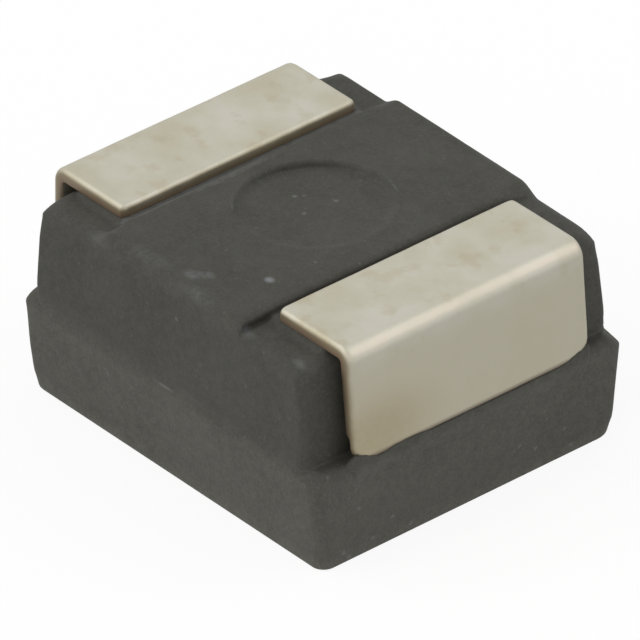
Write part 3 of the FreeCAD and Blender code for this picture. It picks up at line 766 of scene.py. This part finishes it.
def grain_group():
    """Fine grain: a height from two noises and a tone that varies slowly."""
    graph, given, out = new_group(
        "fine_grain", ("Height", "Tone"), Grains_per_mm=30.0, Blotches_per_mm=1.5, Coarse_share=0.4)
    fine = graph.noise(given["Grains per mm"], 3.0, 0.6)[0]
    coarse = graph.noise(graph.times(given["Grains per mm"], 0.3), 2.0)[0]
    both = graph.node("Mix", {0: given["Coarse share"], 2: fine, 3: coarse}, data_type="FLOAT")[0]
    slow = graph.noise(given["Blotches per mm"], 4.0, 0.55)[0]
    graph.fill(out["Height"], both)
    graph.fill(out["Tone"], graph.remap(slow, 0.25, 0.75))


def specks_group():
    """Sparse specks: cells of a Voronoi pattern whose centre is near and whose own random
    number is low enough."""
    graph, given, out = new_group("settled_specks", ("Mask",), Cells_per_mm=8.0, Share=0.1, Size=0.2)
    push = graph.vector("MULTIPLY", graph.noise(24.0, 2.0)[1], (0.03, 0.03, 0.03))
    place = graph.vector("ADD", graph.place, push)
    cells = graph.node("TexVoronoi", {"Vector": place, "Scale": given["Cells per mm"]})
    drawn = graph.node("SeparateColor", {0: cells["Color"]})[0]
    chosen = graph.maths("LESS_THAN", drawn, given["Share"])
    near = graph.remap(cells["Distance"], graph.times(given["Size"], 0.4), given["Size"], 1.0, 0.0)
    graph.fill(out["Mask"], graph.times(chosen, near))


def soft_patch_group():
    """One soft patch: an ellipsoid round a centre that fades out and is broken by noise."""
    graph, given, out = new_group(
        "soft_patch", ("Mask",), Centre=(0, 0, 0), Reach=(0.1, 0.1, 0.1), Strength=0.5, Breakup=0.5)
    off = graph.vector("SUBTRACT", graph.place, given["Centre"])
    scaled = graph.vector("DIVIDE", off, given["Reach"])
    far = graph.node("VectorMath", {0: scaled}, operation="LENGTH")["Value"]
    torn = graph.remap(graph.noise(22.0, 3.0)[0], 0.35, 0.65)
    keep = graph.maths("SUBTRACT", 1.0, graph.times(given["Breakup"], torn))
    body = graph.times(graph.remap(far, 0.15, 1.0, 1.0, 0.0), keep)
    graph.fill(out["Mask"], graph.times(body, given["Strength"], clamp=True))


def wear_and_highlight_group():
    """Wear and painted highlights along edges: the piece's own edge value, broken up by noise."""
    graph, given, out = new_group("edge_wear_and_highlight", ("Mask",), Edge=0.0, Amount=0.5)
    rough = graph.maths("SUBTRACT", graph.noise(9.0, 5.0, 0.65)[0], 0.5)
    mask = graph.remap(graph.plus(given["Edge"], rough), 0.55, 1.1)
    graph.fill(out["Mask"], graph.times(mask, given["Amount"], clamp=True))


def new_material(name):
    """A material with an empty tree, and its graph."""
    material = bpy.data.materials.new(name)
    material.use_nodes = True
    material.node_tree.nodes.clear()
    graph = Graph(material.node_tree)
    seat = graph.node("TexCoord")["Object"]
    graph.place = graph.node("Mapping", {"Vector": seat, "Scale": (1 / MM,) * 3})[0]
    return material, graph


def tint(rgb, *factors):
    """A colour with full alpha, times one factor or times one for each channel."""
    return (*(c * f for c, f in zip(rgb, (factors or (1.0,)) * 3)), 1.0)


# Centre and reach in millimetres, strength and breakup of each smudge on the pad, and of one painted
# highlight.
SMUDGES_AND_HIGHLIGHT = (
    ((0.50, -0.86, 1.715), (0.060, 0.050, 0.05), 0.80, 0.1),
    ((0.08, -1.23, 1.715), (0.11, 0.07, 0.06), 0.34, 0.5),
    ((0.17, -1.14, 1.715), (0.08, 0.05, 0.06), 0.30, 0.5),
    ((-0.30, -1.30, 1.700), (0.30, 0.10, 0.08), 0.16, 0.8),
    ((0.30, -1.34, 1.690), (0.24, 0.07, 0.08), 0.18, 0.8),
    # A painted highlight: the light streak along the far step's rounded edge.
    ((-0.75, -0.15, 1.715), (0.04, 0.60, 0.03), 0.22, 0.7),
    ((-0.27, 0.01, 1.680), (0.035, 0.03, 0.03), 0.40, 0.3),
    ((-0.04, -0.09, 1.680), (0.030, 0.03, 0.03), 0.38, 0.3),
    ((1.36, -1.30, 1.600), (0.10, 0.06, 0.06), 0.34, 0.4),
    ((0.80, -1.33, 1.620), (0.16, 0.06, 0.08), 0.20, 0.4),
    ((-0.80, -1.32, 1.640), (0.22, 0.10, 0.08), 0.16, 0.6),
    ((0.13, -1.18, 1.715), (0.09, 0.05, 0.06), 0.26, 0.4),
    ((-0.02, -1.43, 0.800), (0.15, 0.06, 0.02), 0.22, 0.5),
    ((0.90, -1.39, 0.710), (0.20, 0.06, 0.05), 0.16, 0.7),
    ((-0.02, 0.19, 1.680), (0.030, 0.03, 0.03), 0.36, 0.3),
)


def resin_material(finish):
    """Moulded epoxy: fine grain, slow blotches, lighter rubbed edges, specks and smudges, with painted
    highlights on edges, steps and burrs, painted shade in creases, and painted light and shade by height.
    """
    _, graph = new_material("moulded_resin")
    grain = graph.group("fine_grain", Grains_per_mm=42.0, Blotches_per_mm=1.7, Coarse_share=0.35)
    specks = graph.group("settled_specks", Cells_per_mm=9.0, Share=0.10, Size=0.22)["Mask"]
    crumbs = graph.group("settled_specks", Cells_per_mm=26.0, Share=0.12, Size=0.30)["Mask"]
    edge, height = graph.value("edge"), graph.height()
    shade = graph.blend(grain["Tone"], tint(finish.resin, 0.86), tint(finish.resin))
    speckle = graph.times(graph.remap(grain["Height"], 0.34, 0.66), 0.5)
    shade = graph.blend(speckle, shade, tint(finish.resin, 1.5))
    # The dust colour paints settled dust, rubbed edges and the painted highlights together.
    dust = graph.times(specks, 0.35 * finish.dust_amount)
    dust_and_highlight_masks = [graph.times(crumbs, 0.22 * finish.dust_amount)]
    dust_and_highlight_masks.append(graph.group("edge_wear_and_highlight", Edge=edge, Amount=0.26)["Mask"])
    for soft_patch in SMUDGES_AND_HIGHLIGHT:
        named = dict(zip(("Centre", "Reach", "Strength", "Breakup"), soft_patch))
        dust_and_highlight_masks.append(graph.group("soft_patch", **named)["Mask"])
    for mask in dust_and_highlight_masks:
        dust = graph.maths("MAXIMUM", dust, mask)
    # Painted light and shade by height: the lower half lighter, most of all next to the marked face, the
    # mounting half's sides darker and the top lighter again. Painted shade where the edge value is below
    # zero: the near step's corner and the mark's steep wall.
    lower = graph.plus(graph.remap(height, 0.70, 0.92, 1.10, 0.84), graph.remap(height, 0.0, 0.16, 0.22, 0.0))
    upper = graph.remap(height, 1.52, 1.68, 0.0, 0.12)
    painted_crease_shade = graph.remap(edge, -1.0, -0.1, 0.45, 1.0)
    level = graph.times(graph.plus(lower, upper), painted_crease_shade)
    shade = graph.node("VectorMath", {0: shade, "Scale": level}, operation="SCALE")[0]
    shade = graph.blend(dust, shade, tint(finish.dust))
    rough = graph.plus(graph.remap(grain["Tone"], 0.0, 1.0, 0.64, 0.56), graph.times(dust, 0.3))
    relief = graph.plus(grain["Height"], graph.times(dust, 1.2))
    graph.surface({"Base Color": shade, "Roughness": rough, "Specular IOR Level": 0.2}, relief, 0.004, 0.7)


def tin_material(finish):
    """Matt tin plating: soft blotches, tan stains, rubbed bends with a painted highlight, and bare cut edges,
    painted darker low on the leg as shade.
    """
    _, graph = new_material("tin_plating")
    tin, copper = finish.tin, finish.bare_edge
    grain = graph.group("fine_grain", Grains_per_mm=30.0, Blotches_per_mm=2.2, Coarse_share=0.5)
    stain = graph.group("fine_grain", Grains_per_mm=6.0, Blotches_per_mm=5.0, Coarse_share=0.5)
    cut, height = graph.value("cut"), graph.height()
    tan, shaded_copper = tint(tin, 0.80, 0.70, 0.52), tint(copper, 0.4)
    shade = graph.blend(grain["Tone"], tint(tin, 0.93, 0.90, 0.80), tint(tin, 1.08))
    shade = graph.blend(graph.remap(stain["Tone"], 0.64, 1.0, 0.0, 0.36), shade, tan)
    # The leg is warmer than the foot, and darker and tanner towards its lower left.
    shade = graph.blend(graph.remap(height, 1.45, 1.72, 0.9, 0.0), shade, tint(tin, 0.98, 0.945, 0.85))
    lower_left_tan = graph.group(
        "soft_patch", Centre=(1.70, -0.90, 1.00), Reach=(0.20, 0.75, 0.45), Strength=0.80, Breakup=0.15)
    shade = graph.blend(lower_left_tan["Mask"], shade, tan)
    # The bends are lighter and pinker: rubbed plating, and a painted highlight.
    rubbed_and_painted_light = graph.group("edge_wear_and_highlight", Edge=graph.value("bend"), Amount=0.9)["Mask"]
    shade = graph.blend(rubbed_and_painted_light, shade, tint(tin, 1.12, 1.02, 1.0))
    # A tan fringe and then bare copper alloy towards the cut edges. Low on the leg the bare copper is painted
    # darker as shade, and a band along the leg's lower edge, where it meets the flash, is painted shade.
    ragged = graph.plus(cut, graph.times(graph.maths("SUBTRACT", stain["Height"], 0.5), 0.5))
    rolled = graph.plus(ragged, graph.times(cut, 0.6))
    shade = graph.blend(graph.remap(rolled, 0.02, 0.62), shade, tint(tin, 0.50, 0.42, 0.31))
    bare = graph.blend(graph.remap(height, 1.50, 1.66), shaded_copper, tint(copper))
    shade = graph.blend(graph.remap(ragged, 0.30, 0.95), shade, bare)
    shade = graph.blend(graph.remap(height, 0.835, 0.885, 0.8, 0.0), shade, shaded_copper)
    rough = graph.remap(grain["Tone"], 0.0, 1.0, 0.42, 0.34)
    metallic = graph.remap(cut, 0.05, 0.6, 0.7, 0.15)
    graph.surface(
        {"Base Color": shade, "Roughness": rough, "Metallic": metallic}, grain["Height"], 0.002, 0.6)


# Name, colour, lighter colour, metallic, roughness, grains per mm and grain depth in mm.
INNER_FINISHES = {
    "tantalum_pellet": ((0.13, 0.13, 0.14), (0.22, 0.22, 0.23), 0.5, 0.75, 60.0, 0.010),
    "anode_wire": ((0.36, 0.36, 0.38), (0.50, 0.50, 0.52), 0.9, 0.35, 45.0, 0.002),
    "wire_washer": ((0.74, 0.74, 0.72), (0.86, 0.86, 0.84), 0.0, 0.45, 20.0, 0.002),
    "manganese_dioxide_coat": ((0.020, 0.020, 0.022), (0.045, 0.045, 0.048), 0.0, 0.85, 50.0, 0.012),
    "graphite_coat": ((0.035, 0.036, 0.040), (0.075, 0.076, 0.080), 0.2, 0.55, 35.0, 0.004),
    "silver_coat": ((0.50, 0.50, 0.48), (0.68, 0.68, 0.66), 0.7, 0.50, 30.0, 0.005),
    "silver_adhesive": ((0.44, 0.44, 0.42), (0.60, 0.60, 0.58), 0.6, 0.55, 25.0, 0.006),
}


def inner_material(name):
    """The finish of a sealed piece: grain, blotches and its own metal or paint."""
    low, high, metallic, rough, grains, depth = INNER_FINISHES[name]
    material, graph = new_material(name)
    grain = graph.group("fine_grain", Grains_per_mm=grains, Blotches_per_mm=3.0, Coarse_share=0.4)
    shade = graph.blend(grain["Tone"], tint(low), tint(high))
    rough = graph.remap(grain["Height"], 0.2, 0.8, rough - 0.1, rough + 0.1)
    graph.surface({"Base Color": shade, "Roughness": rough, "Metallic": metallic}, grain["Height"], depth)
    return material


# Operators --------------------------------------------------------------


class CAPACITOR_OT_finishes(bpy.types.Operator):
    """Makes the shared node groups and the materials"""

    bl_idname = "capacitor.finishes"
    bl_label = "Finishes"

    def execute(self, context):
        finish = context.scene.capacitor_finishes
        grain_group()
        specks_group()
        soft_patch_group()
        wear_and_highlight_group()
        resin_material(finish)
        tin_material(finish)
        return {"FINISHED"}


class CAPACITOR_OT_case(bpy.types.Operator):
    """Builds the outside of the moulded case"""

    bl_idname = "capacitor.case"
    bl_label = "Moulded case"
    ROOM = 0.02 * MM  # how far the surface may leave the solid's box

    def execute(self, context):
        points, quads, centre, wear_and_painted_light = CaseForm(in_mm(context.scene.capacitor_case)).build()
        low, high = points.min(0) * MM - CASE_LOW, points.max(0) * MM - CASE_HIGH
        if min(low) < -self.ROOM or max(high) > self.ROOM:
            raise RuntimeError("the case's surface leaves the solid's box")
        piece = make_piece("case_skin", points, quads, "moulded_resin", {"edge": wear_and_painted_light}, centre)
        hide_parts("moulded_case")
        return {"FINISHED"}


class CAPACITOR_OT_terminals(bpy.types.Operator):
    """Builds the anode and the cathode terminal from their bent strips"""

    bl_idname = "capacitor.terminals"
    bl_label = "Terminals"
    # Radius of the small bends and steps over each, the anode tab's end, and the gaps
    # between the silver coat and the cathode's riser and cradle, in millimetres.
    TIGHT, TURNS = 0.03, 10
    TAB_END = 0.96
    RISER_GAP, CRADLE_GAP = 0.08, 0.03

    def execute(self, context):
        sizes, case = in_mm(context.scene.capacitor_terminals), in_mm(context.scene.capacitor_case)
        top, strip, rim = sizes.foot_top, sizes.strip, case.rim_height
        tip, foot, leg = sizes.foot_end, sizes.leg_foot, sizes.leg_exit
        outer = [(tip, top), (foot, top), (leg, rim)]
        inner = [(tip, top - strip), (foot - strip, top - strip), (leg - strip, rim + strip)]
        bends = [sizes.foot_bend, sizes.exit_bend]
        inner_bends = [bends[0] - strip, self.TIGHT]
        # Inside the case the anode ends in a tab; the cathode rises and runs over the coat.
        riser = -SILVER_LOW.x / MM + self.RISER_GAP
        cradle, end = SILVER_HIGH.z / MM + self.CRADLE_GAP, -CRADLE_HIGH.x / MM
        for name, side, tab_half, tail, inner_tail, tail_bends, runs in (
            ("anode_terminal", 1, 0.45, [(self.TAB_END, rim)], [(self.TAB_END, rim + strip)],
             [], [16, 26, 30]),
            ("cathode_terminal", -1, 0.65, [(riser, rim), (riser, cradle), (end, cradle)],
             [(riser + strip, rim + strip), (riser + strip, cradle + strip), (end, cradle + strip)],
             [self.TIGHT + strip, self.TIGHT], [16, 26, 24, 10, 16]),
        ):
            outer_line = rounded_run(outer + tail, bends + tail_bends, runs, self.TURNS)
            inner_line = rounded_run(
                inner + inner_tail, inner_bends + tail_bends[::-1], runs, self.TURNS)
            form = StripForm(sizes, tab_half, case)
            points, quads, caps, values = form.build(outer_line, inner_line)
            piece = make_piece(
                name + "_strip", points * (side, side, 1), quads, "tin_plating", values, caps)
            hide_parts(name)
        return {"FINISHED"}


class CAPACITOR_OT_flash(bpy.types.Operator):
    """Builds the thin resin flash at the foot of each leg"""

    bl_idname = "capacitor.flash"
    bl_label = "Resin flash"

    def execute(self, context):
        sizes, case = in_mm(context.scene.capacitor_terminals), in_mm(context.scene.capacitor_case)
        for name, side in (("anode_flash", 1), ("cathode_flash", -1)):
            points = flash_points(case, sizes, side)
            rows, count, _ = points.shape
            quads, caps = tube_faces(count, rows)
            piece = make_piece(
                name, points.reshape(-1, 3), quads, "moulded_resin", {"edge": np.zeros(rows * count)}, caps)
        return {"FINISHED"}


class CAPACITOR_OT_element(bpy.types.Operator):
    """Gives the sealed capacitor element its finishes"""

    bl_idname = "capacitor.element"
    bl_label = "Capacitor element"

    def execute(self, context):
        for name in INNER_FINISHES:
            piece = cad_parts[name]
            piece.data.materials.clear()
            piece.data.materials.append(inner_material(name))
        return {"FINISHED"}


class CAPACITOR_OT_stage(bpy.types.Operator):
    """Sets the camera, the lights, the backdrop and the floor"""

    bl_idname = "capacitor.stage"
    bl_label = "Stage"

    def execute(self, context):
        stage = context.scene.capacitor_stage
        set_camera(context.scene, stage)
        set_world(context.scene, stage)
        set_floor(stage)
        add_light("front_left", stage.front_left, (-0.40, -0.68, 0.62), 70)
        add_light("back_right", stage.back_right, (0.45, 0.53, 0.72), 50)
        context.scene.view_settings.view_transform = "Standard"
        return {"FINISHED"}


IMAGE_PIXELS = 640
SENSOR = 36.0


def set_camera(scene, stage):
    """The camera looks at the aim point from the given angle and distance; it is moved
    sideways, not turned, until that point stands at its place in the picture."""
    a, e, roll = (math.radians(v) for v in (stage.azimuth, stage.elevation, stage.roll))
    back = Vector((math.sin(a) * math.cos(e), -math.cos(a) * math.cos(e), math.sin(e)))
    level = Vector((math.cos(a), math.sin(a), 0))
    rise = back.cross(level)
    right = level * math.cos(roll) + rise * math.sin(roll)
    up = rise * math.cos(roll) - level * math.sin(roll)
    pixel = MM / stage.pixels_per_mm
    place = Vector((0, 0, stage.aim_height)) + back * stage.distance
    place += (up * stage.aim_down - right * stage.aim_right) * pixel
    data = bpy.data.cameras.new("camera")
    data.sensor_width = SENSOR
    data.lens = SENSOR * stage.distance / (pixel * IMAGE_PIXELS)
    data.clip_start, data.clip_end = 0.01, 10
    camera = add_object("camera", data)
    turn = Matrix((right, up, back)).transposed().to_4x4()
    camera.matrix_world = Matrix.Translation(place) @ turn
    scene.camera = camera


def add_light(name, strength, direction, spread):
    """A distant soft light that comes from a direction, spread over an angle in degrees."""
    sun = bpy.data.lights.new(name, "SUN")
    sun.energy = strength
    sun.angle = math.radians(spread)
    add_object(name, sun).rotation_euler = Vector(direction).to_track_quat("Z", "Y").to_euler()


def set_world(scene, stage):
    """An even pale sky that looks white."""
    world = bpy.data.worlds.new("studio")
    world.use_nodes = True
    world.node_tree.nodes.clear()
    graph = Graph(world.node_tree)
    levels = [graph.white("Background", strength) for strength in (stage.sky, stage.mirror, 1.0)]
    graph.node("OutputWorld", {"Surface": graph.by_ray(*levels)})
    scene.world = world


# Half the floor's side in metres, and how bright and how large a share its glow is where
# it is seen.
FLOOR_HALF = 0.5
PAPER_GLOW, GLOW_SHARE = 1.10, 0.8


def set_floor(stage):
    """A wide white floor that glows like a light table and keeps the part's soft shadow."""
    mesh = bpy.data.meshes.new("floor")
    corners = [(x * FLOOR_HALF, y * FLOOR_HALF, 0) for x, y in ((-1, -1), (1, -1), (1, 1), (-1, 1))]
    mesh.from_pydata(corners, [], [(0, 1, 2, 3)])
    floor = add_object("floor", mesh)
    material, graph = new_material("floor")
    paper = graph.node("BsdfPrincipled", {"Base Color": (0.9, 0.9, 0.9, 1), "Roughness": 0.9})[0]
    lit = graph.node("AddShader", {0: paper, 1: graph.white("Emission", stage.glow)})[0]
    table = graph.white("Emission", PAPER_GLOW)
    seen = graph.node("MixShader", {0: GLOW_SHARE, 1: paper, 2: table})[0]
    shader = graph.by_ray(lit, graph.white("Emission", stage.shine), seen)
    graph.node("OutputMaterial", {"Surface": shader})
    mesh.materials.append(material)


class CAPACITOR_PT_panel(bpy.types.Panel):
    """Lists the capacitor's pieces and their sizes"""

    bl_idname = "CAPACITOR_PT_panel"
    bl_label = "Moulded capacitor"
    bl_space_type = "VIEW_3D"
    bl_region_type = "UI"
    bl_category = "Capacitor"

    def draw(self, context):
        layout = self.layout
        for group_name, _ in GROUPS:
            box = layout.box()
            settings = getattr(context.scene, group_name)
            for key in type(settings).__annotations__:
                box.prop(settings, key)
        for operator in OPERATORS:
            layout.operator(operator.bl_idname)


GROUPS = (
    ("capacitor_case", CaseSizes),
    ("capacitor_terminals", TerminalSizes),
    ("capacitor_finishes", Finishes),
    ("capacitor_stage", StageSettings),
)
OPERATORS = (
    CAPACITOR_OT_finishes,
    CAPACITOR_OT_case,
    CAPACITOR_OT_terminals,
    CAPACITOR_OT_flash,
    CAPACITOR_OT_element,
    CAPACITOR_OT_stage,
)


def register():
    for name, kind in GROUPS:
        bpy.utils.register_class(kind)
        setattr(bpy.types.Scene, name, PointerProperty(type=kind))
    for kind in (*OPERATORS, CAPACITOR_PT_panel):
        bpy.utils.register_class(kind)


def unregister():
    for kind in (CAPACITOR_PT_panel, *reversed(OPERATORS)):
        bpy.utils.unregister_class(kind)
    for name, kind in reversed(GROUPS):
        delattr(bpy.types.Scene, name)
        bpy.utils.unregister_class(kind)


def main():
    """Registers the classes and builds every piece."""
    register()
    bpy.ops.capacitor.finishes()
    bpy.ops.capacitor.case()
    bpy.ops.capacitor.terminals()
    bpy.ops.capacitor.flash()
    bpy.ops.capacitor.element()
    bpy.ops.capacitor.stage()


if __name__ == "__main__":
    main()
